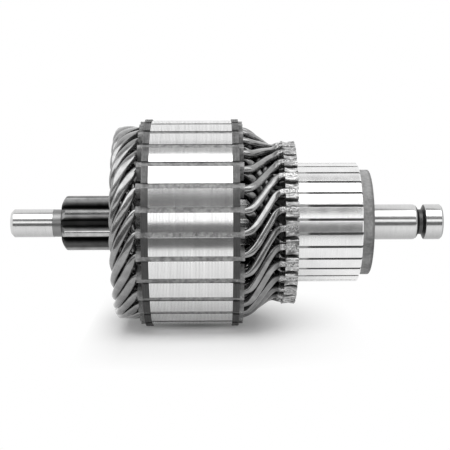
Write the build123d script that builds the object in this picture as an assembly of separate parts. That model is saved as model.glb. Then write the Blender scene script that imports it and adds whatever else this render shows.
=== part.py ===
from build123d import *
import math
import os

# Wound motor armature with a pinion cut on its shaft.
# Millimetres. The shaft lies along X with the commutator at +X, and +Z is up.
# Angles round the shaft start at the side that faces -Y and grow towards +Z.

# Shaft stations along X and radii
shaft_left_end = -80.2
shaft_right_end = 80.2
pinion_left = -61.2
pinion_right = -38.5
drive_journal_radius = 5.25
seat_radius = 8.5
commutator_journal_radius = 6.6
left_end_chamfer = 1.1
right_end_chamfer = 0.7
seat_clearance = 0.02

# Retaining ring groove on the commutator end
groove_slope_start = 70.0
groove_floor_start = 71.45
groove_floor_end = 72.8
groove_right = 73.7
groove_radius = 4.66

# Pinion
pinion_teeth = 8
pinion_module = 2.117
pinion_addendum = 1.0
pinion_shift = 0.3
pinion_clearance = 0.25
pinion_pressure_angle = 20.0
pinion_tooth_turn = 28.7
pinion_chamfer_length = 1.9
pinion_chamfer_depth = 3.6
pinion_core_radius = 6.0

# Core: steel sheets between two fibre plates
slots = 28
core_radius = 38.0
core_left = -27.5
core_length = 29.1
plate_proud = 0.5
plate_thickness = 2.45
slot_opening = 2.2
slot_cut_past = 0.5

# Slot liners
liner_wall = 0.3
liner_clearance = 0.05
liner_out_left = 1.85
liner_out_right = 1.55
liner_top_depth = 0.4

# Winding
wire_diameter = 2.5
wire_sides = 6
wire_clearance = 0.05
layer_step = 2.9
outer_wire_depth = 3.6
coil_span = 5
nose_reach = 9.5
nose_half_angle = 2.2
nose_exit_length = 0.9
lead_exit_length = 0.6
right_exit_reach = 3.6
right_exit_drop = 1.9
right_exit_turn = 3.2
right_inner_exit_reach = 3.2
right_inner_exit_drop = 2.4
right_inner_exit_turn = 2.6
lead_bend_reach = 2.75
lead_bend_drop = 0.4

# Commutator
bar_turn = 2.1
mica_thickness = 0.85
mica_undercut = 0.8
track_radius = 22.2
bar_seat_radius = 16.0
riser_radius = 30.4
riser_left = 20.15
riser_thickness = 4.65
track_right = 48.3
lead_radius = 28.8
lead_end_inset = 0.2
lead_slot_clearance = 0.05
bar_cut_past = 1.0
bars_per_node = 2

# Commutator moulding
moulding_collar_radius = 19.6
moulding_collar_length = 4.4
moulding_left_step = 2.0

# Derived places
pitch = 360 / slots
core_right = core_left + core_length
left_plate_left = core_left - plate_thickness
right_plate_right = core_right + plate_thickness
liner_left = left_plate_left - liner_out_left
liner_right = right_plate_right + liner_out_right
plate_radius = core_radius + plate_proud
liner_top_radius = core_radius - liner_top_depth
outer_wire_radius = core_radius - outer_wire_depth
inner_wire_radius = outer_wire_radius - layer_step
riser_right = riser_left + riser_thickness
moulding_right = track_right + moulding_collar_length
liner_half_gap = wire_diameter / 2 + wire_clearance
liner_half_width = liner_half_gap + liner_wall
liner_inner_bottom = inner_wire_radius - liner_half_gap
liner_inner_top = outer_wire_radius + liner_half_gap
liner_half_mouth = slot_opening / 2 - liner_clearance
lead_bend_x = riser_left - lead_bend_reach


def turned(shape, angle):
    """Turn a shape round the shaft by an angle, growing from -Y towards +Z."""
    return Rot(X=-angle) * shape


def place(x, radius, angle):
    """Point at a station along the shaft, a radius and an angle round it."""
    turn = math.radians(angle)
    return Vector(x, -radius * math.cos(turn), radius * math.sin(turn))


def revolved(outline):
    """Solid of revolution round the shaft from (x, radius) points."""
    face = make_face(Polyline(*outline, close=True))
    return revolve(face, Axis.X)


def involute_pinion():
    """Pinion teeth as an extrusion of involute outlines, still without its chamfer."""
    pitch_radius = pinion_module * pinion_teeth / 2
    tip_radius = pitch_radius + pinion_module * pinion_addendum
    root_radius = pitch_radius - pinion_module * (1 + pinion_clearance - pinion_shift)
    pressure = math.radians(pinion_pressure_angle)
    base_radius = pitch_radius * math.cos(pressure)
    half_tooth = (math.pi / 2 + 2 * pinion_shift * math.tan(pressure)) / pinion_teeth
    half_base = half_tooth + math.tan(pressure) - pressure

    def flank_angle(radius):
        lean = math.acos(min(1, base_radius / radius))
        return half_base - (math.tan(lean) - lean)

    flank_radii = [root_radius, pitch_radius, tip_radius]
    edges = []
    for tooth in range(pinion_teeth):
        middle = tooth * 2 * math.pi / pinion_teeth

        def polar(radius, angle):
            return (radius * math.cos(middle + angle), radius * math.sin(middle + angle))

        rising = [polar(r, -flank_angle(r)) for r in flank_radii]
        falling = [polar(r, flank_angle(r)) for r in reversed(flank_radii)]
        next_root = polar(root_radius, 2 * math.pi / pinion_teeth - half_base)
        root_middle = polar(root_radius, math.pi / pinion_teeth)
        edges += [ThreePointArc(*rising)]
        edges += [ThreePointArc(rising[-1], polar(tip_radius, 0), falling[0])]
        edges += [ThreePointArc(*falling)]
        edges += [ThreePointArc(falling[-1], root_middle, next_root)]
    outline = make_face(edges)
    teeth = extrude(Plane.YZ.offset(pinion_left) * outline, pinion_right - pinion_left)
    blank = revolved([
        (pinion_left, 0),
        (pinion_left, tip_radius - pinion_chamfer_depth),
        (pinion_left + pinion_chamfer_length, tip_radius),
        (pinion_right, tip_radius),
        (pinion_right, 0),
    ])
    return turned(teeth & blank, 180 + pinion_tooth_turn)


def shaft():
    """Turned shaft with the pinion cut from the same bar."""
    turned_bar = revolved([
        (shaft_left_end, 0),
        (shaft_left_end, drive_journal_radius - left_end_chamfer),
        (shaft_left_end + left_end_chamfer, drive_journal_radius),
        (pinion_left, drive_journal_radius),
        (pinion_left, pinion_core_radius),
        (pinion_right, pinion_core_radius),
        (pinion_right, seat_radius),
        (moulding_right, seat_radius),
        (moulding_right, commutator_journal_radius),
        (groove_slope_start, commutator_journal_radius),
        (groove_floor_start, groove_radius),
        (groove_floor_end, groove_radius),
        (groove_right, commutator_journal_radius),
        (shaft_right_end - right_end_chamfer, commutator_journal_radius),
        (shaft_right_end, commutator_journal_radius - right_end_chamfer),
        (shaft_right_end, 0),
    ])
    return turned_bar + involute_pinion()


def slot_outline(half_width, half_mouth, bottom, shoulder, top):
    """Outline of one slot, pointing along the first axis of its plane."""
    return make_face(Polyline(
        (bottom, -half_width), (shoulder, -half_width), (top, -half_mouth),
        (top, half_mouth), (shoulder, half_width), (bottom, half_width), close=True))


def slotted_disc(radius, left, thickness):
    """Disc with a shaft bore and a row of slots that are open at the rim."""
    half_width = liner_half_width + liner_clearance
    taper = (half_width - slot_opening / 2) / (radius - liner_inner_top)
    slot = slot_outline(
        half_width, slot_opening / 2 - taper * slot_cut_past,
        liner_inner_bottom - liner_wall - liner_clearance, liner_inner_top,
        radius + slot_cut_past)
    disc = Circle(radius) - Circle(seat_radius + seat_clearance)
    disc -= [Rot(Z=180 - k * pitch) * slot for k in range(slots)]
    return extrude(Plane.YZ.offset(left) * disc, thickness)


def slot_liner():
    """Folded paper liner of one slot, closed over the wires at its mouth."""
    outer = slot_outline(
        liner_half_width, liner_half_mouth,
        liner_inner_bottom - liner_wall, liner_inner_top, liner_top_radius)
    middle = (liner_inner_bottom + liner_inner_top) / 2
    opening = Pos(X=middle) * Rectangle(liner_inner_top - liner_inner_bottom, 2 * liner_half_gap)
    sleeve = Plane.YZ.offset(liner_left) * (outer - opening)
    return Rot(X=180) * extrude(sleeve, liner_right - liner_left)


def wire_route():
    """Centre line of one coil from its riser through both of its slots to its other riser."""
    return_turn = -coil_span * pitch
    nose_turn = return_turn / 2
    nose_x = liner_left - nose_reach + wire_diameter / 2
    lead_reach = 2 * pitch + bar_turn
    lead_end = riser_right - lead_end_inset
    inner_lead_radius = lead_radius - layer_step
    outer_leg = [
        place(lead_end, lead_radius, lead_reach),
        place(lead_bend_x, lead_radius - lead_bend_drop, lead_reach),
        place(liner_right + right_exit_reach, outer_wire_radius - right_exit_drop,
              right_exit_turn),
        place(liner_right + lead_exit_length, outer_wire_radius, 0),
    ]
    nose = [
        place(liner_left - nose_exit_length, outer_wire_radius, 0),
        place(nose_x, outer_wire_radius, nose_turn + nose_half_angle),
        place(nose_x, inner_wire_radius, nose_turn - nose_half_angle),
        place(liner_left - nose_exit_length, inner_wire_radius, return_turn),
    ]
    inner_leg = [
        place(liner_right + lead_exit_length, inner_wire_radius, return_turn),
        place(liner_right + right_inner_exit_reach, inner_wire_radius - right_inner_exit_drop,
              return_turn - right_inner_exit_turn),
        place(lead_bend_x, inner_lead_radius - lead_bend_drop,
              return_turn - 2 * pitch + bar_turn),
        place(lead_end, inner_lead_radius, return_turn - 2 * pitch + bar_turn),
    ]
    return outer_leg + nose + inner_leg


def mitred_wire(route):
    """Wire with flat sides that keeps its section through a mitre at each bend."""
    runs = [(end - start).normalized() for start, end in zip(route, route[1:])]
    across = runs[0].cross(Vector(0, 0, 1)).normalized()
    upright = runs[0].cross(across)
    ring = []
    for side in range(wire_sides):
        turn = 2 * math.pi * side / wire_sides
        offset = across * math.cos(turn) + upright * math.sin(turn)
        ring.append(route[0] + offset * (wire_diameter / 2))
    rings = [ring]
    for index, run in enumerate(runs):
        after = runs[min(index + 1, len(runs) - 1)]
        mitre = run + after
        corner = route[index + 1]
        ring = [p + run * ((corner - p).dot(mitre) / run.dot(mitre)) for p in ring]
        rings.append(ring)
    outlines = [rings[0], rings[-1]]
    for before, behind in zip(rings, rings[1:]):
        for side in range(wire_sides):
            beside = (side + 1) % wire_sides
            outlines.append([before[side], before[beside], behind[beside], behind[side]])
    faces = [Face(Wire.make_polygon(outline, close=True)) for outline in outlines]
    return Solid(Shell(faces))


def commutator_bar():
    """One copper bar with its riser and the slot for its two wire ends."""
    ring = revolved([
        (riser_left, 0), (riser_left, riser_radius), (riser_right, riser_radius),
        (riser_right, track_radius), (track_right, track_radius), (track_right, 0)])
    reach = riser_radius + bar_cut_past
    half_pitch = math.radians(pitch / 2)

    def half_width(distance):
        return distance * math.tan(half_pitch) - mica_thickness / 2 / math.cos(half_pitch)

    wedge = extrude(Plane.YZ.offset(riser_left) * make_face(Polyline(
        (-bar_seat_radius, half_width(bar_seat_radius)), (-reach, half_width(reach)),
        (-reach, -half_width(reach)), (-bar_seat_radius, -half_width(bar_seat_radius)),
        close=True)), track_right - riser_left)
    lead_end = riser_right - lead_end_inset
    sag = lead_bend_drop * (lead_end - riser_left) / (lead_end - lead_bend_x)
    lead_slot_bottom = lead_radius - layer_step - sag - wire_diameter / 2 - lead_slot_clearance
    lead_slot_width = wire_diameter + 2 * lead_slot_clearance
    lead_slot = Pos((riser_left + riser_right) / 2, -(lead_slot_bottom + reach) / 2, 0) * Box(
        riser_thickness + 2 * bar_cut_past, reach - lead_slot_bottom, lead_slot_width)
    return (ring & wedge) - lead_slot


def mica_segment():
    """Insulating strip between two bars, cut back below the brush track."""
    top = track_radius - mica_undercut
    bottom = bar_seat_radius / math.cos(math.radians(pitch / 2))
    middle = Pos((riser_left + track_right) / 2, -(bottom + top) / 2, 0)
    return middle * Box(track_right - riser_left, top - bottom, mica_thickness)


def commutator_moulding():
    """Moulded hub that carries the bars and ends in a plain collar."""
    left = riser_left - moulding_left_step
    bore = Circle(seat_radius + seat_clearance)
    seat_turn = 180 - bar_turn + pitch / 2
    seats = RegularPolygon(bar_seat_radius, slots, major_radius=False, rotation=seat_turn)
    hub = extrude(Plane.YZ.offset(left) * (seats - bore), track_right - left)
    collar = extrude(
        Plane.YZ.offset(track_right) * (Circle(moulding_collar_radius) - bore),
        moulding_right - track_right)
    return hub + collar


def build():
    """All sub-parts by name."""
    liner = slot_liner()
    coil = mitred_wire(wire_route())
    bar = commutator_bar()
    mica = mica_segment()
    pieces = {
        "shaft": shaft(),
        "lamination_stack": slotted_disc(core_radius, core_left, core_length),
        "end_plate_pinion_side": slotted_disc(plate_radius, left_plate_left, plate_thickness),
        "end_plate_commutator_side": slotted_disc(plate_radius, core_right, plate_thickness),
        "slot_liners": Compound([turned(liner, k * pitch) for k in range(slots)]),
        "mica_segments": Compound(
            [turned(mica, bar_turn + (k + 0.5) * pitch) for k in range(slots)]),
        "commutator_moulding": commutator_moulding(),
    }
    for k in range(slots):
        pieces[f"coil_{k + 1:02d}"] = turned(coil, k * pitch)
    for group in range(math.ceil(slots / bars_per_node)):
        first = group * bars_per_node
        members = range(first, min(first + bars_per_node, slots))
        pieces[f"commutator_bars_{group + 1:02d}"] = Compound(
            [turned(bar, bar_turn + k * pitch) for k in members])
    return pieces


os.makedirs("parts", exist_ok=True)
for name, piece in build().items():
    export_step(piece, f"parts/{name}.step")
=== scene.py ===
import math
import random

import bmesh
import bpy
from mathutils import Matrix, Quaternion, Vector


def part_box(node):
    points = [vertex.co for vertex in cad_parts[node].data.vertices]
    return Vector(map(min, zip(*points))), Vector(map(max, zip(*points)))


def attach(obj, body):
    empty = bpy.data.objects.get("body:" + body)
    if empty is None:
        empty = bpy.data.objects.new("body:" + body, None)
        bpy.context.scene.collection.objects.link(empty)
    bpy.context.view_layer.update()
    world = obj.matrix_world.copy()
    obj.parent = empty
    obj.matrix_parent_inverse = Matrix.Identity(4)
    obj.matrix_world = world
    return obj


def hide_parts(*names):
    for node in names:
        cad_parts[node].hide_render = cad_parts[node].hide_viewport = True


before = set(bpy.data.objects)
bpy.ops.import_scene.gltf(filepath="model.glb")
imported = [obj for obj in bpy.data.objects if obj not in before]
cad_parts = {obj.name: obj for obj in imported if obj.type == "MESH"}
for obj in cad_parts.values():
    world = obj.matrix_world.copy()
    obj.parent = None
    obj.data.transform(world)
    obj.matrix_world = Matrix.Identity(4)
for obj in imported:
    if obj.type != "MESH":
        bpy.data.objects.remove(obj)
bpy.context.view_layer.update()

# Lengths below are in millimetres and angles in degrees. Angles round the shaft start at
# the side that faces -Y and grow towards +Z, as they do in the part's source.
mm = 0.001


def extent(node, axis):
    """Lowest and highest place of a node along one axis, in millimetres."""
    low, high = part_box(node)
    return low[axis] / mm, high[axis] / mm


# Sizes that the frame gives
shaft_left, shaft_right = extent("shaft", 0)
core_left, core_right = extent("lamination_stack", 0)
core_radius = extent("lamination_stack", 2)[1]
left_plate_left = extent("end_plate_pinion_side", 0)[0]
right_plate_right = extent("end_plate_commutator_side", 0)[1]
plate_radius = extent("end_plate_pinion_side", 2)[1]
liner_left, liner_right = extent("slot_liners", 0)
liner_top_radius = extent("slot_liners", 2)[1]
riser_left = extent("commutator_bars_01", 0)[0]
track_right = extent("commutator_bars_01", 0)[1]
moulding_left, moulding_right = extent("commutator_moulding", 0)
collar_radius = extent("commutator_moulding", 2)[1]
winding_nose, winding_end = extent("coil_01", 0)

# Counts
slots = 28
pitch = 360 / slots
coil_span = 5

# Winding. The layers come down towards the risers between funnel_from and funnel_to.
wire_diameter = 2.5
layer_step = 2.9
outer_wire_radius = 34.4
inner_wire_radius = outer_wire_radius - layer_step
funnel_from = 4.4
funnel_to = 14.4
funnel_drop = 5.8
lead_radius = 28.8
bar_turn = 2.1
bare_from = 18.5
bare_width = 2.15
bare_height = 2.6

# Slots, liners and sheets
slot_half_width = 1.65
slot_half_mouth = 0.95
slot_bottom = 29.85
slot_shoulder = 35.7
liner_wall = 0.3
liner_clearance = 0.05
sheet_pitch = 0.5
sheet_gap = 0.05
plate_layers = 3
stack_seed = 5

# Commutator
riser_right = 24.8
riser_radius = 30.4
track_radius = 22.2
bar_seat_radius = 16.0
hub_clearance = 0.1
lead_slot_bottom = 24.35
lead_slot_half_width = 1.3
mica_thickness = 0.85
mica_riser_top = 24.0
undercut_from = riser_right + 3.4
undercut_past = riser_right + 4.6

# Shaft
journal_radius = 5.25
journal_chamfer = 1.1
relief_left = -64.5
relief_right = -61.3
relief_depth = 0.12
seat_radius = 8.5
seat_clearance = 0.02
right_journal_radius = 6.6
right_chamfer = 0.7
groove_left = 70.35
groove_floor = (71.45, 72.8)
groove_right = 73.7
groove_radius = 4.66

# Pinion
pinion_left = -61.2
pinion_right = -38.5
pinion_teeth = 8
pinion_module = 2.117
pinion_shift = 0.3
pinion_dedendum = 1.25
pinion_pressure_angle = 20
pinion_turn = 28.7
pinion_bar_radius = 6.0

# Fineness of the meshes
merge_distance = 0.001
sharp_edge = 35
sharp_sheet_edge = 20
arc_steps = 4
shaft_segments = 144
moulding_segments = 168
bore_segments = 56
flank_steps = 5
rim_steps = 5
wire_sides = 18
route_spacing = 0.9
most_route_steps = 5
riser_steps = 14
crown_steps = 9


# Meshes


def polar(x, radius, angle):
    """Point in metres at a station along the shaft, a radius and an angle round it."""
    turn = math.radians(angle)
    return Vector((x, -radius * math.cos(turn), radius * math.sin(turn))) * mm


def local(x, radius, aside):
    """Point in metres that lies off the side of the shaft that faces -Y."""
    return Vector((x, -radius, aside)) * mm


def smooth_step(low, high, value):
    """0 up to low, 1 from high on, and an even curve between."""
    part = min(1.0, max(0.0, (value - low) / (high - low)))
    return part * part * (3 - 2 * part)


def placed(name, data):
    """New object in the scene."""
    item = bpy.data.objects.new(name, data)
    bpy.context.scene.collection.objects.link(item)
    return item


def build_object(name, vertices, faces):
    """Mesh object with outward faces, smooth but for its sharp edges."""
    mesh = bpy.data.meshes.new(name)
    mesh.from_pydata([tuple(v) for v in vertices], [], faces)
    work = bmesh.new()
    work.from_mesh(mesh)
    bmesh.ops.remove_doubles(work, verts=work.verts, dist=merge_distance * mm)
    bmesh.ops.recalc_face_normals(work, faces=work.faces)
    work.to_mesh(mesh)
    work.free()
    mesh.shade_smooth()
    mesh.set_sharp_from_angle(angle=math.radians(sharp_edge))
    return placed(name, mesh)


def loft(rings, loop=False):
    """Skin over rings with as many points each, with its ends closed or joined in a loop."""
    count = len(rings[0])
    vertices = [point for ring in rings for point in ring]
    faces = []
    spans = len(rings) if loop else len(rings) - 1
    for row in range(spans):
        after = (row + 1) % len(rings)
        for column in range(count):
            beside = (column + 1) % count
            faces.append((row * count + column, row * count + beside,
                          after * count + beside, after * count + column))
    if not loop:
        faces.append(tuple(reversed(range(count))))
        last = (len(rings) - 1) * count
        faces.append(tuple(range(last, last + count)))
    return vertices, faces


def lathe(outline, segments):
    """Skin of revolution round the shaft from a closed outline of (x, radius) points."""
    rings = [[polar(x, radius, 360 * step / segments) for x, radius in outline]
             for step in range(segments)]
    return loft(rings, loop=True)


def joined(*skins):
    """One list of vertices and one of faces from several skins."""
    vertices, faces = [], []
    for more_vertices, more_faces in skins:
        start = len(vertices)
        vertices += more_vertices
        faces += [tuple(start + index for index in face) for face in more_faces]
    return vertices, faces


def rounded(outline, corners):
    """Outline with an arc in place of each corner that corners gives a radius."""
    points = []
    for index, corner in enumerate(outline):
        radius = corners.get(index, 0)
        if not radius:
            points.append(corner)
            continue
        here = Vector(corner)
        before = (Vector(outline[index - 1]) - here).normalized()
        after = (Vector(outline[(index + 1) % len(outline)]) - here).normalized()
        half = before.angle(after) / 2
        reach = radius / math.tan(half)
        centre = here + (before + after).normalized() * (radius / math.sin(half))
        start, end = here + before * reach - centre, here + after * reach - centre
        for step in range(arc_steps + 1):
            points.append(tuple(centre + start.slerp(end, step / arc_steps) * radius))
    return points


def mirrored(half):
    """Whole outline of (radius, aside) points from the half with asides below 0."""
    return half + [(radial, -aside) for radial, aside in reversed(half)]


# Node graphs


class Value:
    """An output of a node, for use in sums and as the input of other nodes."""

    def __init__(self, graph, socket):
        self.graph = graph
        self.socket = socket

    def math(self, operation, *others):
        """This value and others through one operation."""
        return self.graph.node("ShaderNodeMath", {"operation": operation},
                               {index: item for index, item in enumerate((self, *others))})

    def __add__(self, other):
        return self.math("ADD", other)

    def __sub__(self, other):
        return self.math("SUBTRACT", other)

    def __mul__(self, other):
        return self.math("MULTIPLY", other)

    def __truediv__(self, other):
        return self.math("DIVIDE", other)

    def __rsub__(self, other):
        return self.graph.node("ShaderNodeMath", {"operation": "SUBTRACT"}, {0: other, 1: self})

    __radd__ = __add__
    __rmul__ = __mul__

    def clamped(self, low, high):
        """0 at low, 1 at high, and a straight run between."""
        return self.graph.node("ShaderNodeMapRange", {"clamp": True},
                               {"Value": self, "From Min": low, "From Max": high})

    def over(self, low, high):
        """The same between two places in millimetres."""
        return self.clamped(low * mm, high * mm)

    def band(self, rise, fall):
        """1 between a rise and a fall, each a pair of places in millimetres, and 0 outside."""
        return self.over(*rise) * (1 - self.over(*fall))


def grey(level):
    """Opaque colour without hue."""
    return (level, level, level, 1)


class Graph:
    """Adds nodes to a shader tree or a geometry tree."""

    def __init__(self, tree):
        self.tree = tree

    def node(self, kind, settings=None, inputs=None, output=0):
        """Adds a node, whose inputs are plain values or outputs of other nodes."""
        made = self.tree.nodes.new(kind)
        for name, setting in (settings or {}).items():
            setattr(made, name, setting)
        for key, item in (inputs or {}).items():
            if isinstance(item, Value):
                self.tree.links.new(item.socket, made.inputs[key])
            else:
                made.inputs[key].default_value = item
        return Value(self, made.outputs[output]) if made.outputs else made

    def axes(self, vector):
        """The three coordinates of a vector."""
        split = self.node("ShaderNodeSeparateXYZ", inputs={0: vector})
        return [Value(self, socket) for socket in split.socket.node.outputs]

    def glow(self, strength):
        """White light of its own."""
        return self.node("ShaderNodeEmission", inputs={"Color": grey(1.0), "Strength": strength})


def empty_material(name):
    """Material without any nodes."""
    material = bpy.data.materials.new(name)
    material.use_nodes = True
    material.node_tree.nodes.clear()
    return material


class Finish(Graph):
    """A material for one finish, with places on the object to build on."""

    def __init__(self, name):
        self.material = empty_material(name)
        super().__init__(self.material.node_tree)
        self.place = self.node("ShaderNodeTexCoord", output="Object")
        self.x, self.y, self.z = self.axes(self.place)

    def noise(self, scale, detail=3.0, stretch=(1, 1, 1), roughness=0.5):
        """Noise over the object, with a scale in periods a metre along each axis."""
        where = self.node("ShaderNodeMapping", {"vector_type": "POINT"},
                          {"Vector": self.place, "Scale": stretch})
        return self.node("ShaderNodeTexNoise", {"noise_dimensions": "3D"},
                         {"Vector": where, "Scale": scale, "Detail": detail, "Roughness": roughness})

    def shade(self, amount, dark, light):
        """Grey between two levels, by an amount from 0 to 1."""
        return self.mixed(amount, grey(dark), grey(light))

    def mixed(self, amount, first, second):
        """Colour between two others, by an amount from 0 to 1."""
        return self.node("ShaderNodeMix", {"data_type": "RGBA"},
                         {0: amount, 6: first, 7: second}, output=2)

    def radius(self):
        """Distance from the shaft's axis."""
        return (self.y * self.y + self.z * self.z).math("SQRT")

    def bump(self, height, distance):
        """Normal for a height from 0 to 1 that stands for a distance in millimetres."""
        return self.node("ShaderNodeBump", inputs={"Height": height, "Distance": distance * mm})

    def finish(self, **sockets):
        """Ends the material in one surface shader."""
        names = {name.replace("_", " ").title(): item for name, item in sockets.items()}
        surface = self.node("ShaderNodeBsdfPrincipled", inputs=names)
        self.node("ShaderNodeOutputMaterial", inputs={"Surface": surface})
        return self.material


# Finishes. Greys and amounts run from 0 to 1, and places are in millimetres.


def ground_steel():
    """Bright ground bar with fine rings round it, dull in its grooves, with painted shade underneath.
    """
    finish = Finish("ground_steel")
    rings = finish.noise(900, detail=4, stretch=(6, 0.2, 0.2))
    smudge = finish.noise(90, detail=3)
    relief = finish.x.band((relief_left - 0.1, relief_left + 0.1),
                           (relief_right, relief_right + 0.2))
    below = 1 - finish.radius().over(right_journal_radius - 0.35, right_journal_radius - 0.1)
    groove = below * finish.x.band((groove_left - 0.35, groove_left + 0.15),
                                   (groove_right + 0.3, groove_right + 0.5))
    rim = finish.x.over(shaft_right - right_chamfer, shaft_right - 0.3)
    dull = (relief * 0.7 + groove + rim * 0.6).clamped(0, 1)
    # Painted shade: the bar darkens towards its underside, standing in for the shaded floor it
    # reflects.
    painted_shade_below = finish.z.over(-2, -6.4)
    tone = ((smudge * 0.5 + rings * 0.5) * 0.44 + 0.43) * (1 - painted_shade_below * 0.48)
    return finish.finish(
        base_color=finish.shade(tone * (1 - dull * 0.85), dark=0.0, light=1.0), metallic=1.0,
        roughness=0.13 + smudge * 0.08 + dull * 0.25,
        normal=finish.bump(rings, distance=0.004))


def gear_steel():
    """Dark oiled steel of the pinion, with painted light and shade on its flanks and lands."""
    finish = Finish("gear_steel")
    stain = finish.noise(260, detail=4)
    marks = finish.noise(700, detail=3, stretch=(0.25, 1, 1))
    tip = pinion_module * (pinion_teeth / 2 + 1)
    # Painted light: on every tooth the flank on one side, the lower one at the front, is lighter than
    # the other.
    turn = finish.z.math("ARCTAN2", finish.y * -1)
    side = ((turn - math.radians(pinion_turn)) * pinion_teeth).math("SINE")
    painted_lit_flank = side.clamped(0.1, -0.2)
    # Painted shade: the flanks darken towards the roots.
    flank = finish.radius().over(tip - 2.9, tip - 1.2) * (painted_lit_flank * 0.55 + 0.22)
    land = finish.radius().over(tip - 0.4, tip - 0.15)
    # Painted highlight: the lands are lighter in a band a little below the axis.
    painted_highlight_band = finish.z.band((-10, -7), (-2, 2))
    land_painted_highlight = painted_highlight_band * 0.72 + 0.28
    tone = (stain * 0.8 + 0.2) * (land * land_painted_highlight + (1 - land) * flank + 0.08)
    return finish.finish(
        base_color=finish.shade(tone, dark=0.0, light=0.72), metallic=0.95,
        roughness=0.38 + stain * 0.1 - land * 0.2, normal=finish.bump(marks, distance=0.02))


def sheet_steel():
    """Edges of the core's pressed sheets, with a painted contact shadow at the very bottom."""
    finish = Finish("sheet_steel")
    sheet = finish.noise(1400, detail=2, stretch=(1, 0.01, 0.01))
    patch = finish.noise(120, detail=4)
    # Painted contact shadow: the lowest edges of the sheets turn dark.
    painted_shade_below = finish.z.over(-37, -37.6)
    bright = finish.shade(sheet * 0.7 + patch * 0.3, dark=0.68, light=1.0)
    return finish.finish(
        base_color=finish.mixed(painted_shade_below, bright, grey(0.1)), metallic=1.0,
        roughness=0.12 + patch * 0.08, normal=finish.bump(sheet, distance=0.03))


def end_plate_fibre():
    """Dark layered board with streaks round the shaft, painted shade on the lower part of its rim."""
    finish = Finish("end_plate_fibre")
    layers = finish.noise(1100, detail=3, stretch=(1, 0.05, 0.05))
    fluff = finish.noise(500, detail=5, roughness=0.65)
    tone = layers * 0.4 + fluff * 0.6
    rim = finish.radius().over(plate_radius - 2.5, plate_radius - 1)
    # Painted shade on the lower part of the rim.
    painted_rim_shade = finish.z.over(17, 11) * rim
    return finish.finish(
        base_color=finish.shade(tone.clamped(0.3, 0.7) * (1 - painted_rim_shade * 0.8), dark=0.035, light=0.27),
        roughness=0.45 + fluff * 0.3, normal=finish.bump(tone, distance=0.12))


def liner_paper():
    """Varnished insulating paper."""
    finish = Finish("liner_paper")
    fluff = finish.noise(700, detail=5)
    flecks = finish.noise(1500, detail=2).clamped(0.62, 0.68)
    tone = fluff.clamped(0.3, 0.7) * 0.8 + flecks * 0.6
    return finish.finish(
        base_color=finish.shade(tone, dark=0.16, light=0.5), roughness=0.4 + fluff * 0.3,
        normal=finish.bump(fluff, distance=0.1))


def enamelled_wire():
    """Copper wire in dark enamel, with painted shade and no coat in the depth, stripped bright near
    the commutator.
    """
    finish = Finish("enamelled_wire")
    patch = finish.noise(350, detail=4)
    scuffs = finish.noise(1600, detail=3, roughness=0.7)
    edge = finish.noise(600, detail=2) * (1.2 * mm)
    bare = (finish.x + edge).over(bare_from, bare_from + 0.5)
    funnel = finish.x.over(funnel_from, funnel_to)
    between = (outer_wire_radius - layer_step / 2 - funnel * funnel_drop) * mm
    outside = (finish.radius() - between).over(-0.4, 0.9)
    burnt = finish.x.over(bare_from - 2.6, bare_from - 0.6) * 0.55
    enamel = finish.shade((patch.clamped(0.25, 0.75) * 0.4 + 0.6) * (1 - burnt), dark=0.0, light=0.36)
    # Painted shade on the inner layer's wires, in the depth between the outer ones; it is less dark
    # on the pinion side.
    painted_depth_shade = finish.shade(finish.x.over(0, -20), dark=0.03, light=0.16)
    enamel_with_painted_depth_shade = finish.mixed(outside, painted_depth_shade, enamel)
    copper = finish.shade(scuffs.clamped(0.38, 0.62), dark=0.12, light=0.72)
    return finish.finish(
        base_color=finish.mixed(bare, enamel_with_painted_depth_shade, copper), metallic=0.9 + bare * 0.1,
        roughness=0.12 + patch * 0.1 + bare * 0.18, coat_weight=(1 - bare) * outside * 0.5,
        coat_roughness=0.1, normal=finish.bump(scuffs * (bare * 4 + 0.5), distance=0.04))


def commutator_copper():
    """Turned brush track, with duller and rougher risers."""
    finish = Finish("commutator_copper")
    rings = finish.noise(1300, detail=3, stretch=(5, 0.1, 0.1))
    patch = finish.noise(240, detail=4)
    streaks = finish.noise(950, detail=4, stretch=(0.3, 1, 1), roughness=0.6)
    flecks = finish.noise(1300, detail=2, stretch=(0.6, 1, 1)).clamped(0.6, 0.66)
    riser = 1 - finish.x.over(riser_right, riser_right + 0.4)
    track = rings * 0.2 + patch * 0.2 + 0.66
    ears = streaks.clamped(0.4, 0.6) * 0.5 + flecks * 0.4 + 0.12
    tone = track * (1 - riser) + ears * riser
    return finish.finish(
        base_color=finish.shade(tone, dark=0.06, light=0.98), metallic=1.0,
        roughness=0.21 + patch * 0.1 + riser * 0.16,
        normal=finish.bump(rings * 0.1 + streaks * riser * 7, distance=0.05))


def mica():
    """Insulation between the bars, light where it is flush by the risers, dark in the grooves."""
    finish = Finish("mica")
    flakes = finish.noise(1200, detail=3)
    flush = finish.x.band((riser_right - 0.2, riser_right),
                          (undercut_from - 0.2, undercut_past + 0.2))
    # Dark in the undercut grooves, partly its own darker tone and partly painted shade.
    grooves = finish.shade(flakes, dark=0.03, light=0.14)
    return finish.finish(
        base_color=finish.mixed(flush, grooves, grey(0.42)), roughness=0.5 + flakes * 0.2,
        normal=finish.bump(flakes, distance=0.05))


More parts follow.
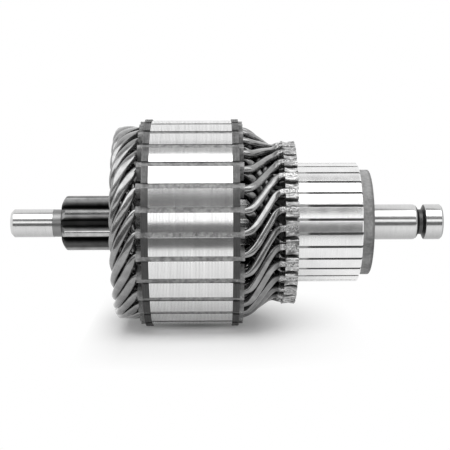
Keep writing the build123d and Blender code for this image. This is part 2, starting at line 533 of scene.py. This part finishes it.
def moulding_compound():
    """Speckled grey moulding, with painted light on top and a dark line just inside the collar's
    right rim.
    """
    finish = Finish("moulding_compound")
    speckle = finish.noise(900, detail=4, roughness=0.7)
    cloud = finish.noise(110, detail=4)
    # Painted light: the moulding is lighter towards the top.
    painted_top_light = finish.z.over(6, 18)
    tone = speckle.clamped(0.3, 0.7) * 0.45 + cloud.clamped(0.35, 0.65) * 0.5 + painted_top_light * 0.5
    edge = finish.x.over(moulding_right - 1.2, moulding_right - 0.5)
    edge = edge * finish.radius().over(collar_radius - 2.4, collar_radius - 1.6)
    return finish.finish(
        base_color=finish.shade(tone * (1 - edge * 0.6), dark=0.08, light=0.5),
        roughness=0.4 + speckle * 0.2, normal=finish.bump(speckle, distance=0.06))


# Geometry node trees


def start_tree(name, inputs):
    """Geometry tree with named inputs, its graph and its input values by name."""
    tree = bpy.data.node_groups.new(name, "GeometryNodeTree")
    tree.interface.new_socket(name="Geometry", in_out="INPUT", socket_type="NodeSocketGeometry")
    for label, kind in inputs.items():
        tree.interface.new_socket(name=label, in_out="INPUT", socket_type=kind)
    tree.interface.new_socket(name="Geometry", in_out="OUTPUT", socket_type="NodeSocketGeometry")
    graph = Graph(tree)
    first = tree.nodes.new("NodeGroupInput")
    given = {socket.name: Value(graph, socket) for socket in first.outputs if socket.name}
    return tree, graph, given


def end_tree(graph, given, placing, jitter=None):
    """Places real copies of the template, moves their points if asked, and gives the material."""
    template = graph.node("GeometryNodeObjectInfo", inputs={"Object": given["Template"]},
                          output="Geometry")
    copies = graph.node("GeometryNodeInstanceOnPoints", inputs={"Instance": template, **placing})
    real = graph.node("GeometryNodeRealizeInstances", inputs={0: copies})
    if jitter:
        real = graph.node("GeometryNodeSetPosition", inputs={"Geometry": real, "Offset": jitter})
    painted = graph.node("GeometryNodeSetMaterial",
                         inputs={"Geometry": real, "Material": given["Material"]})
    graph.node("NodeGroupOutput", inputs={0: painted})


def turned_copies_tree():
    """Copies of a template round the shaft, with their points moved a little left of Rough Until."""
    tree, graph, given = start_tree("turned_copies", {
        "Template": "NodeSocketObject", "Count": "NodeSocketInt", "First Turn": "NodeSocketFloat",
        "Pitch": "NodeSocketFloat", "Rough": "NodeSocketFloat", "Rough Scale": "NodeSocketFloat",
        "Rough Until": "NodeSocketFloat", "Material": "NodeSocketMaterial"})
    points = graph.node("GeometryNodePoints", inputs={"Count": given["Count"]})
    index = graph.node("GeometryNodeInputIndex")
    turn = (given["First Turn"] + given["Pitch"] * index) * -math.pi / 180
    rotation = graph.node("ShaderNodeCombineXYZ", inputs={0: turn})
    noise = graph.node("ShaderNodeTexNoise", {"noise_dimensions": "3D"},
                       {"Scale": given["Rough Scale"], "Detail": 1.0}, output="Color")
    centred = graph.node("ShaderNodeVectorMath", {"operation": "SUBTRACT"},
                         {0: noise, 1: (0.5, 0.5, 0.5)})
    x = graph.axes(graph.node("GeometryNodeInputPosition"))[0]
    before = x.math("LESS_THAN", given["Rough Until"])
    offset = graph.node("ShaderNodeVectorMath", {"operation": "SCALE"},
                        {0: centred, "Scale": given["Rough"] * before})
    end_tree(graph, given, {"Points": points, "Rotation": rotation}, offset)
    return tree


def stacked_sheets_tree():
    """Sheets along the shaft, each turned and sized a little apart from its neighbours."""
    size_seed = 7
    tree, graph, given = start_tree("stacked_sheets", {
        "Template": "NodeSocketObject", "Count": "NodeSocketInt", "First Place": "NodeSocketFloat",
        "Pitch": "NodeSocketFloat", "Spread Turn": "NodeSocketFloat",
        "Spread Size": "NodeSocketFloat", "Seed": "NodeSocketInt",
        "Material": "NodeSocketMaterial"})
    index = graph.node("GeometryNodeInputIndex")
    place = graph.node("ShaderNodeCombineXYZ",
                       inputs={0: given["First Place"] + given["Pitch"] * index})
    points = graph.node("GeometryNodePoints", inputs={"Count": given["Count"], "Position": place})
    turn = graph.node("FunctionNodeRandomValue", {"data_type": "FLOAT"},
                      {2: -1.0, 3: 1.0, "Seed": given["Seed"]}, output=1)
    size = graph.node("FunctionNodeRandomValue", {"data_type": "FLOAT"},
                      {2: -1.0, 3: 0.0, "Seed": given["Seed"] + size_seed}, output=1)
    rotation = graph.node("ShaderNodeCombineXYZ", inputs={0: turn * given["Spread Turn"]})
    across = 1 + size * given["Spread Size"]
    scale = graph.node("ShaderNodeCombineXYZ", inputs={0: 1.0, 1: across, 2: across})
    end_tree(graph, given, {"Points": points, "Rotation": rotation, "Scale": scale})
    return tree


def grown(name, tree, inputs):
    """Runs a geometry tree and keeps its result as a plain mesh object."""
    host = placed(name + "_host", bpy.data.meshes.new(name + "_host"))
    modifier = host.modifiers.new("grow", "NODES")
    modifier.node_group = tree
    for item in tree.interface.items_tree:
        if item.in_out == "INPUT" and item.name in inputs:
            modifier[item.identifier] = inputs[item.name]
    evaluated = host.evaluated_get(bpy.context.evaluated_depsgraph_get())
    mesh = bpy.data.meshes.new_from_object(evaluated)
    mesh.name = name
    bpy.data.objects.remove(host)
    return placed(name, mesh)


def settle(piece, slot, *nodes):
    """Puts a finished piece on the body in place of its nodes."""
    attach(piece, "root")
    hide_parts(*nodes)


def discard(template):
    """Takes a template that has been copied out of the scene."""
    bpy.data.objects.remove(template)


# Shaft


def gear_outline():
    """Radius and angle pairs round the pinion, tooth by tooth, and the radius over its tips."""
    pitch_radius = pinion_module * pinion_teeth / 2
    tip = pitch_radius + pinion_module
    root = pitch_radius - pinion_module * (pinion_dedendum - pinion_shift)
    pressure = math.radians(pinion_pressure_angle)
    base = pitch_radius * math.cos(pressure)
    half_tooth = (math.pi / 2 + 2 * pinion_shift * math.tan(pressure)) / pinion_teeth
    half_base = half_tooth + math.tan(pressure) - pressure
    root_fillet, root_spread, fillet_spread = 0.25, 0.055, 0.012
    tip_round, tip_lean = 0.12, 0.02
    flank = [(root, half_base + root_spread), (root + root_fillet, half_base + fillet_spread)]
    for step in range(flank_steps + 1):
        radius = base + (tip - tip_round - base) * step / flank_steps
        lean = math.acos(min(1, base / radius))
        flank.append((radius, half_base - (math.tan(lean) - lean)))
    tip_half = flank[-1][1]
    flank.append((tip, tip_half - tip_lean))
    outline = []
    for tooth in range(pinion_teeth):
        middle = 2 * math.pi * tooth / pinion_teeth
        rising = [(radius, middle - angle) for radius, angle in flank]
        falling = [(radius, middle + angle) for radius, angle in reversed(flank)]
        root_gap = (root, middle + math.pi / pinion_teeth)
        outline += rising + [(tip, middle)] + falling + [root_gap]
    return outline, tip


def pinion_skin():
    """Toothed stretch with its rounded lead-in at the left."""
    outline, tip = gear_outline()
    # Pairs of how far from the left end, and how far below the tips the teeth are cut there.
    lead_in = [(0, 3.6), (0.15, 2.9), (0.5, 2.1), (1.0, 1.25), (1.5, 0.55), (1.9, 0.15), (2.3, 0)]
    places = [(pinion_left + along, tip - cut) for along, cut in lead_in]
    places.append((pinion_right, tip))
    rings = []
    for x, cap in places:
        rings.append([polar(x, min(radius, cap), math.degrees(angle) + pinion_turn)
                      for radius, angle in outline])
    return loft(rings)


def shaft_outline():
    """Turned outline of the shaft as (x, radius), from its left end to its right end."""
    axis = 0.001
    inside = 0.3
    relief_radius = journal_radius - relief_depth
    points = [
        (shaft_left, axis), (shaft_left, journal_radius - journal_chamfer),
        (shaft_left + journal_chamfer, journal_radius), (relief_left, journal_radius),
        (relief_left + 0.1, relief_radius), (relief_right, relief_radius),
        (pinion_left + inside, pinion_bar_radius), (pinion_right - inside, pinion_bar_radius),
        (pinion_right, seat_radius), (moulding_right - 0.02, seat_radius),
        (moulding_right + 0.01, right_journal_radius), (groove_left, right_journal_radius),
        (groove_floor[0], groove_radius), (groove_floor[1], groove_radius),
        (groove_right, right_journal_radius), (shaft_right - right_chamfer, right_journal_radius),
        (shaft_right, right_journal_radius - right_chamfer), (shaft_right, axis),
    ]
    # Radius of the arc at a corner, by the corner's place in the list of points.
    arcs = {1: 0.25, 2: 0.4, 11: 1.8, 12: 0.3, 13: 0.2, 14: 0.2, 15: 0.3, 16: 0.2}
    return rounded(points, arcs)


def make_shaft():
    """Turned bar and toothed stretch as one piece, with a finish for each."""
    body = lathe(shaft_outline(), shaft_segments)
    piece = build_object("shaft_and_pinion", *joined(body, pinion_skin()))
    piece.data.materials.append(ground_steel())
    piece.data.materials.append(gear_steel())
    for face in piece.data.polygons:
        inside = pinion_left * mm <= face.center.x <= pinion_right * mm
        face.material_index = 1 if inside else 0
    settle(piece, "shaft_steel", "shaft")


# Core


def slotted_outline(radius):
    """Outline of a slotted sheet as (radius, angle) points, slot by slot."""
    mouth_angle = math.degrees(math.asin(slot_half_mouth / radius))
    mouth = radius - 0.05
    lip = 0.06
    slot = mirrored([(mouth, -slot_half_mouth), (slot_shoulder, -slot_half_width),
                     (slot_bottom, -slot_half_width)])
    points = []
    for k in range(slots):
        turn = k * pitch
        for radial, aside in slot:
            reach = math.hypot(radial, aside)
            angle = turn + math.degrees(math.atan2(aside, radial))
            points.append((reach, angle))
        start = turn + mouth_angle + lip
        end = turn + pitch - mouth_angle - lip
        for step in range(rim_steps):
            points.append((radius, start + (end - start) * step / (rim_steps - 1)))
    return points


def slotted_sheet(name, radius, thickness):
    """Template of one slotted sheet, from x = 0 to its thickness."""
    outline = slotted_outline(radius)
    bore = seat_radius + seat_clearance
    hole = [(bore, 360 * step / bore_segments) for step in range(bore_segments)]
    work = bmesh.new()
    sides = []
    for x in (0, thickness):
        loops = []
        for loop in (outline, hole):
            verts = [work.verts.new(polar(x, distance, angle)) for distance, angle in loop]
            edges = [work.edges.new((verts[i], verts[(i + 1) % len(verts)]))
                     for i in range(len(verts))]
            loops.append((verts, edges))
        bmesh.ops.triangle_fill(work, edges=loops[0][1] + loops[1][1], use_beauty=True)
        sides.append(loops)
    for loop in (0, 1):
        near, far = sides[0][loop][0], sides[1][loop][0]
        for i in range(len(near)):
            beside = (i + 1) % len(near)
            work.faces.new((near[i], near[beside], far[beside], far[i]))
    bmesh.ops.recalc_face_normals(work, faces=work.faces)
    mesh = bpy.data.meshes.new(name)
    work.to_mesh(mesh)
    work.free()
    return placed(name, mesh)


def make_stack(tree, name, node, slot, finish, radius, ends, sheets, turn, spread):
    """Slotted sheets between two places along the shaft."""
    left, right = ends
    step = (right - left) / sheets
    template = slotted_sheet(name + "_sheet", radius, step - sheet_gap)
    piece = grown(name, tree, {
        "Template": template, "Count": sheets, "First Place": (left + sheet_gap / 2) * mm,
        "Pitch": step * mm, "Spread Turn": turn, "Spread Size": spread, "Seed": stack_seed,
        "Material": finish})
    discard(template)
    piece.data.set_sharp_from_angle(angle=math.radians(sharp_sheet_edge))
    settle(piece, slot, node)


def make_core(tree):
    """Sheet stack and both end plates, each from sheets of its own."""
    sheets = round((core_right - core_left) / sheet_pitch)
    steel = sheet_steel()
    fibre = end_plate_fibre()
    make_stack(tree, "sheet_stack", "lamination_stack", "core_steel", steel, core_radius,
               (core_left, core_right), sheets, turn=0.0006, spread=0.0006)
    make_stack(tree, "pinion_side_plate", "end_plate_pinion_side", "end_plate_fibre", fibre,
               plate_radius, (left_plate_left, core_left), plate_layers, turn=0.0, spread=0.0015)
    make_stack(tree, "commutator_side_plate", "end_plate_commutator_side", "end_plate_fibre", fibre,
               plate_radius, (core_right, right_plate_right), plate_layers, turn=0.0, spread=0.0015)


def make_liners(tree):
    """Paper liners with ragged collars past the end plates."""
    outer_half = slot_half_width - liner_clearance
    inner_half = slot_half_width - liner_clearance - liner_wall
    bottom = slot_bottom + liner_clearance
    low = slot_bottom + liner_clearance + liner_wall
    high = slot_shoulder
    # Asides as shares of the half width.
    outer = mirrored([(bottom, -1), (slot_shoulder - 0.6, -1), (slot_shoulder + 0.4, -0.93),
                      (liner_top_radius - 0.5, -0.7), (liner_top_radius, -0.6)])
    inner = mirrored([(low, -1), (high - 1.2, -1), (high - 0.5, -0.96), (high - 0.1, -0.75),
                      (high, -0.4)])
    core_steps = 12
    stations = [liner_left, liner_left + 0.25, liner_left + 0.8, left_plate_left,
                (left_plate_left + core_left) / 2, core_left]
    stations += [core_left + (core_right - core_left) * step / core_steps
                 for step in range(1, core_steps + 1)]
    stations += [(core_right + right_plate_right) / 2, right_plate_right,
                 liner_right - 0.8, liner_right - 0.25, liner_right]
    outside = [[local(x, radial, share * outer_half) for radial, share in outer] for x in stations]
    inside = [[local(x, radial, share * inner_half) for radial, share in inner] for x in stations]
    skin = loft(outside + inside[::-1], loop=True)
    template = build_object("liner_template", *skin)
    piece = grown("paper_liners", tree, {
        "Template": template, "Count": slots, "First Turn": 0.0, "Pitch": pitch,
        "Rough": 0.32 * mm, "Rough Scale": 1100.0, "Rough Until": 1.0,
        "Material": liner_paper()})
    discard(template)
    settle(piece, "liner_paper", "slot_liners")


# Winding


def wire_route(rng):
    """Stations (x, radius, angle) of one coil's centre line, a little different each time."""
    back = -coil_span * pitch
    nose = back / 2
    reach = 2 * pitch + bar_turn
    inner_lead = lead_radius - layer_step
    inner_reach = back - reach + 2 * bar_turn
    nose_x = winding_nose + wire_diameter / 2

    def near(amount):
        return rng.uniform(-amount, amount)

    sway = near(0.8)
    push = near(0.25)
    # From the riser down and back to the core, in the outer layer.
    outer_leg = [
        (winding_end, lead_radius, reach), (21.5, lead_radius - 0.05, reach),
        (18.6, lead_radius - 0.4, reach - 0.2), (16.8, 27.9, reach - 2.6 + near(0.4)),
        (14.9, 28.35, 20.2 + sway), (12.7, 29.6 + push * 0.6, 13.4 + sway),
        (10.4, 31.4 + push * 0.6, 6.6 + sway * 0.6), (8.4, 33.0, 2.3), (6.6, 34.05, 0.5),
        (funnel_from, outer_wire_radius, 0), (0.0, outer_wire_radius, 0),
    ]
    nose_turn = nose + near(0.6)
    # Through the core, round the nose past the pinion side plate, and back a layer further in.
    over_nose = [
        (core_left, outer_wire_radius, 0), (liner_left + 1.5, outer_wire_radius, 0),
        (liner_left - 0.4, outer_wire_radius, -0.6),
        (liner_left - 1.5, outer_wire_radius + 0.1, -3.4),
        (liner_left - 3.8, outer_wire_radius + 0.25 + push, -10.6 + sway),
        (liner_left - 5.9, outer_wire_radius + 0.2 + push, -17.4 + sway),
        (nose_x + 0.85, outer_wire_radius, nose_turn + 8.0),
        (nose_x + 0.2, outer_wire_radius - 0.65, nose_turn + 3.6),
        (nose_x, outer_wire_radius - layer_step / 2, nose_turn),
        (nose_x + 0.2, inner_wire_radius + 0.65, nose_turn - 3.6),
        (nose_x + 0.85, inner_wire_radius, nose_turn - 8.0),
        (liner_left - 5.9, inner_wire_radius - 0.1, back + 17.4),
        (liner_left - 3.8, inner_wire_radius - 0.15, back + 10.6),
        (liner_left - 1.5, inner_wire_radius - 0.1, back + 3.4),
        (liner_left - 0.4, inner_wire_radius, back + 0.6),
        (liner_left + 1.5, inner_wire_radius, back), (core_left, inner_wire_radius, back),
    ]
    # From the core to the riser, in the inner layer.
    inner_leg = [
        (0.0, inner_wire_radius, back), (funnel_from, inner_wire_radius, back),
        (6.5, 31.1, back - 0.4), (8.2, 29.6, back - 2.0), (10.2, 28.2, back - 6.4),
        (12.6, 26.7, back - 13.2), (14.8, 25.4, back - 20.2), (16.8, 24.9, inner_reach + 2.6),
        (18.6, inner_lead - 0.4, inner_reach + 0.2), (21.5, inner_lead - 0.05, inner_reach),
        (winding_end, inner_lead, inner_reach),
    ]
    return outer_leg + over_nose + inner_leg


def smooth_route(stations):
    """Points in metres along a smooth curve through the stations."""
    points = []
    last = len(stations) - 1
    for index in range(last):
        before = stations[max(index - 1, 0)]
        here, after = stations[index], stations[index + 1]
        beyond = stations[min(index + 2, last)]
        arc = math.radians(after[2] - here[2]) * here[1]
        length = math.dist((here[0], here[1], 0), (after[0], after[1], arc))
        steps = max(1, min(most_route_steps, round(length / route_spacing)))
        for step in range(steps):
            t = step / steps
            mixed = []
            for a, b, c, d in zip(before, here, after, beyond):
                mixed.append(0.5 * (2 * b + (c - a) * t + (2 * a - 5 * b + 4 * c - d) * t * t
                                    + (3 * b - a - 3 * c + d) * t ** 3))
            points.append(polar(*mixed))
    points.append(polar(*stations[-1]))
    return points


def section(turn, bare, spread):
    """Offset of one point of the wire's section, round where enamelled and squared where bare."""
    bare_squaring, spread_squaring, most_spread = 4, 2.2, 0.3
    cosine, sine = math.cos(turn), math.sin(turn)
    power = 2 / (2 + bare_squaring * bare + spread_squaring * min(spread, most_spread) * (1 - bare))
    half_across = ((wire_diameter + spread) * (1 - bare) + bare_width * bare) / 2
    half_upright = (wire_diameter * (1 - bare) + bare_height * bare) / 2
    across = math.copysign(abs(cosine) ** power, cosine) * half_across
    upright = math.copysign(abs(sine) ** power, sine) * half_upright
    return across * mm, upright * mm


def wire_skin(points):
    """Tube along the points, upright to the shaft's axis and spread where it is free to."""
    outer_spread_left = 0.75
    outer_spread_right = 0.3
    inner_spread = 1.15
    rings = []
    for index, point in enumerate(points):
        before = points[max(index - 1, 0)]
        after = points[min(index + 1, len(points) - 1)]
        along = (after - before).normalized()
        radial = Vector((0, point.y, point.z)).normalized()
        aside = along.cross(radial).normalized()
        up = aside.cross(along).normalized()
        x = point.x / mm
        bare = smooth_step(bare_from - 1.2, bare_from + 1.2, x)
        free = smooth_step(0.5, 2.5, max(liner_left - x, x - liner_right))
        past_nose = smooth_step(1.5, 4.5, x - winding_nose)
        funnel = smooth_step(funnel_from, funnel_to, x)
        between = outer_wire_radius - layer_step / 2 - funnel_drop * funnel
        inner = 1 - smooth_step(between - 0.8, between + 0.8, math.hypot(point.y, point.z) / mm)
        outer_spread = outer_spread_left if x < 0 else outer_spread_right
        spread = free * past_nose * (outer_spread * (1 - inner) + inner_spread * inner)
        ring = []
        for side in range(wire_sides):
            across, upright = section(2 * math.pi * side / wire_sides, bare, spread)
            ring.append(point + aside * across + up * upright)
        rings.append(ring)
    return loft(rings)


def make_coils():
    """One wire for each coil, each turned to its own slot."""
    first_seed = 100
    finish = enamelled_wire()
    for k in range(slots):
        rng = random.Random(first_seed + k)
        stations = [(x, radius, angle + k * pitch) for x, radius, angle in wire_route(rng)]
        points = smooth_route(stations)
        piece = build_object(f"coil_wire_{k + 1:02d}", *wire_skin(points))
        piece.data.materials.append(finish)
        settle(piece, "winding_wire", f"coil_{k + 1:02d}")


# Commutator


def half_width(distance):
    """Half of a bar's width at a distance from the shaft's axis."""
    half = math.radians(pitch / 2)
    return distance * math.tan(half) - mica_thickness / 2 / math.cos(half)


def riser_section(share):
    """Half section of a riser with its staked ear, for a share of the riser's thickness."""
    pinch = math.sin(math.pi * share) ** 0.7
    top = riser_radius - 0.35 * pinch
    lean = 0.16 * pinch
    slot = lead_slot_half_width - 0.12
    foot_low, foot_high = 21.9, 22.6
    waist = 25.5
    bend_inside = 27.0
    ear = 27.6
    ear_high = 29.2

    def outside(radius):
        """Outer side, which leans in towards the top."""
        bent = smooth_step(waist, riser_radius, radius)
        return half_width(radius) - lean * bent - 0.1

    def inside(radius):
        """Side of the slot, which closes over the wire."""
        bent = smooth_step(bend_inside, riser_radius, radius)
        return slot - (lean + 0.25) * bent

    return [
        (bar_seat_radius, half_width(bar_seat_radius)), (foot_low, half_width(foot_low)),
        (foot_high, half_width(foot_high)), (waist, outside(waist)), (ear, outside(ear)),
        (ear_high, outside(ear_high)), (top - 0.35, outside(top) - 0.02), (top, outside(top) - 0.32),
        (top - 0.02, inside(top) + 0.2), (top - 0.3, inside(top)), (ear, inside(ear)),
        (lead_slot_bottom, slot)]


def track_section(radius):
    """Half section of a bar under the brush track, with a crown that ends near the middle."""
    edge = half_width(radius) - 0.12
    crown_reach = 8.6
    side = [(bar_seat_radius, half_width(bar_seat_radius)), (radius - 0.3, half_width(radius - 0.3)),
            (radius - 0.1, half_width(radius) - 0.03)]
    top = []
    for step in range(crown_steps):
        aside = edge * (1 - step / crown_reach)
        top.append((math.sqrt(radius * radius - aside * aside), aside))
    return side + top


def bar_ring(x, half):
    """Whole section at a station, from its half."""
    left = [local(x, radial, -aside) for radial, aside in half]
    right = [local(x, radial, aside) for radial, aside in reversed(half)]
    return left + right


def bar_template():
    """One bar with its staked riser."""
    rings = []
    for step in range(riser_steps + 1):
        share = step / riser_steps
        x = riser_left + (riser_right - riser_left) * share
        rings.append(bar_ring(x, riser_section(share)))
    fillet = 0.25
    chamfer = 0.4
    rings.append(bar_ring(riser_right + 0.02, track_section(track_radius + fillet)))
    rings.append(bar_ring(riser_right + fillet, track_section(track_radius)))
    rings.append(bar_ring(track_right - chamfer, track_section(track_radius)))
    rings.append(bar_ring(track_right, track_section(track_radius - chamfer)))
    return build_object("bar_template", *loft(rings))


def make_bars(tree):
    """Neighbouring bars in pairs, as the part has them."""
    template = bar_template()
    finish = commutator_copper()
    for group in range(slots // 2):
        piece = grown(f"commutator_pair_{group + 1:02d}", tree, {
            "Template": template, "Count": 2, "First Turn": bar_turn + 2 * group * pitch,
            "Pitch": pitch, "Rough": 0.34 * mm, "Rough Scale": 900.0,
            "Rough Until": (riser_right + 0.01) * mm, "Material": finish})
        settle(piece, "commutator_copper", f"commutator_bars_{group + 1:02d}")
    discard(template)


def make_mica(tree):
    """Strips between the bars, flush by the risers and undercut beyond."""
    profile = [(riser_left, mica_riser_top), (riser_right - 0.3, mica_riser_top),
               (riser_right, track_radius - 0.1), (undercut_from, track_radius - 0.1),
               (undercut_past, track_radius - 0.75), (track_right, track_radius - 0.8)]
    bottom = bar_seat_radius / math.cos(math.radians(pitch / 2))
    half = mica_thickness / 2
    rings = [[local(x, bottom, -half), local(x, top, -half), local(x, top, half),
              local(x, bottom, half)] for x, top in profile]
    template = build_object("mica_template", *loft(rings))
    piece = grown("mica_strips", tree, {
        "Template": template, "Count": slots, "First Turn": bar_turn + pitch / 2, "Pitch": pitch,
        "Rough": 0.0, "Rough Scale": 500.0, "Rough Until": 0.0, "Material": mica()})
    discard(template)
    settle(piece, "mica", "mica_segments")


def make_moulding():
    """Moulded hub and its collar."""
    bore = seat_radius + seat_clearance
    hub_radius = bar_seat_radius - hub_clearance
    arcs = {3: 0.25, 4: 0.5}
    outline = rounded([
        (moulding_left, bore), (moulding_left, hub_radius), (track_right, hub_radius),
        (track_right, collar_radius), (moulding_right, collar_radius), (moulding_right, bore)], arcs)
    piece = build_object("moulded_hub", *lathe(outline, moulding_segments))
    piece.data.materials.append(moulding_compound())
    settle(piece, "moulding", "commutator_moulding")


# Stage


def emitter(name, strength):
    """Material that glows evenly."""
    material = empty_material(name)
    graph = Graph(material.node_tree)
    graph.node("ShaderNodeOutputMaterial", inputs={"Surface": graph.glow(strength)})
    return material


def plane(name, corners, material):
    """Flat piece of the stage with its corners in millimetres."""
    mesh = bpy.data.meshes.new(name)
    mesh.from_pydata([tuple(c * mm for c in corner) for corner in corners], [], [(0, 1, 2, 3)])
    mesh.materials.append(material)
    piece = placed(name, mesh)
    return piece


def seen_rays(graph):
    """1 for a ray from the camera, a gloss or a clear body, and 0 for the others."""
    rays = [graph.node("ShaderNodeLightPath", output=name)
            for name in ("Is Camera Ray", "Is Glossy Ray", "Is Transmission Ray")]
    return (rays[0] + rays[1] + rays[2]).clamped(0.0, 1.0)


def floor_material():
    """Pale floor with the object's shadow, which goes over to plain white on all sides."""
    material = empty_material("pale_floor")
    graph = Graph(material.node_tree)
    place = graph.node("ShaderNodeNewGeometry", output="Position")
    shift = 9 * mm
    squeeze = 0.75
    scaled = graph.node("ShaderNodeMapping", {"vector_type": "POINT"}, {
        "Vector": place, "Location": (shift, 0, 0), "Scale": (squeeze, 1, 0)})
    reach = graph.node("ShaderNodeVectorMath", {"operation": "LENGTH"}, {0: scaled}, output="Value")
    white_from, white_past = 22, 75
    left_fade, right_fade = (-52, -37), (10, 50)
    beside = graph.axes(place)[0].band(left_fade, right_fade)
    far = 1 - (1 - reach.over(white_from, white_past)) * beside
    matte = graph.node("ShaderNodeBsdfDiffuse", inputs={"Color": grey(0.8)})
    seen = seen_rays(graph)
    # Painted shade: the floor's glow is lower near where the armature rests, which deepens its shadow
    # there.
    lift_with_painted_contact_shade = graph.glow(seen * (reach.over(0, 16) * 0.125 + 0.06))
    near = graph.node("ShaderNodeAddShader", inputs={0: matte, 1: lift_with_painted_contact_shade})
    both = graph.node("ShaderNodeMixShader", inputs={0: far * seen, 1: near, 2: graph.glow(1.0)})
    graph.node("ShaderNodeOutputMaterial", inputs={"Surface": both})
    return material


def area_light(name, place, target, size, strength):
    """Rectangular softbox that faces its target, as bright for its area as its strength says."""
    light = bpy.data.lights.new(name, "AREA")
    light.shape = "RECTANGLE"
    light.size, light.size_y = size[0] * mm, size[1] * mm
    light.energy = strength * light.size * light.size_y * math.pi
    lamp = placed(name, light)
    lamp.location = Vector(place) * mm
    lamp.rotation_euler = (Vector(target) - Vector(place)).to_track_quat("-Z", "Y").to_euler()


def make_world():
    """White where it is seen, half as bright straight overhead, and low for matt faces."""
    world = bpy.data.worlds.new("studio")
    world.use_nodes = True
    graph = Graph(world.node_tree)
    graph.tree.nodes.clear()
    height = graph.axes(graph.node("ShaderNodeTexCoord", output="Generated"))[2]
    seen = seen_rays(graph)
    shown = 1 - height.clamped(0.945, 0.97) * 0.5
    unseen = 0.24
    strength = shown * seen + (1 - seen) * unseen
    sky = graph.node("ShaderNodeBackground", inputs={"Color": grey(1.0), "Strength": strength})
    graph.node("ShaderNodeOutputWorld", inputs={"Surface": sky})
    bpy.context.scene.world = world


def fading_wall():
    """Glow that is low near the floor and rises towards the softbox."""
    material = empty_material("fading_wall")
    graph = Graph(material.node_tree)
    height = graph.axes(graph.node("ShaderNodeNewGeometry", output="Position"))[2]
    climb = height.over(380, 900)
    glow = graph.glow(climb * climb * 0.6 + 0.18)
    graph.node("ShaderNodeOutputMaterial", inputs={"Surface": glow})
    return material


def dark_card(name, corners, material):
    """Card that only reflections show."""
    card = plane(name, corners, material)
    card.visible_camera = False
    card.visible_diffuse = False
    card.visible_shadow = False


def make_stage():
    """Floor, cards for the dark parts of the reflections, and the two softboxes."""
    floor = -plate_radius
    edge = 1500
    plane("floor", [(-edge, -edge, floor), (edge, -edge, floor), (edge, edge, floor),
                    (-edge, edge, floor)], floor_material())
    side, near, far = 900, -120, -900
    above = floor + 0.5
    dark_card("front_floor_card", [(-side, -edge, above), (side, -edge, above), (side, near, above),
                                   (-side, near, above)], emitter("front_floor_card", 0.16))
    dark_card("front_wall_card", [(-edge, far, floor), (edge, far, floor), (edge, far, 950),
                                  (-edge, far, 950)], fading_wall())
    area_light("overhead_softbox", place=(0, -338, 600), target=(0, -338, 0), size=(1400, 572),
               strength=1.7)
    area_light("front_strip", place=(0, -520, 129), target=(0, 0, 10), size=(1200, 143),
               strength=1.25)


def make_camera():
    """Camera at the photograph's place, a little above the shaft."""
    distance = 410
    elevation = 6.35
    aside = -6.2
    roll = 0.14
    camera = bpy.data.cameras.new("camera")
    camera.lens = 87.6
    camera.sensor_width = 36.0
    view = placed("camera", camera)
    turn = math.radians(elevation)
    place = Vector((aside, -distance * math.cos(turn), distance * math.sin(turn)))
    target = Vector((-0.7, 0, -0.96))
    view.location = place * mm
    level = (target - place).to_track_quat("-Z", "Y")
    view.rotation_euler = (level @ Quaternion((0, 0, 1), math.radians(-roll))).to_euler()
    bpy.context.scene.camera = view


turned_copies = turned_copies_tree()
stacked_sheets = stacked_sheets_tree()
make_shaft()
make_core(stacked_sheets)
make_liners(turned_copies)
make_coils()
make_bars(turned_copies)
make_mica(turned_copies)
make_moulding()
make_world()
make_stage()
make_camera()
bpy.context.scene.view_settings.view_transform = "Standard"
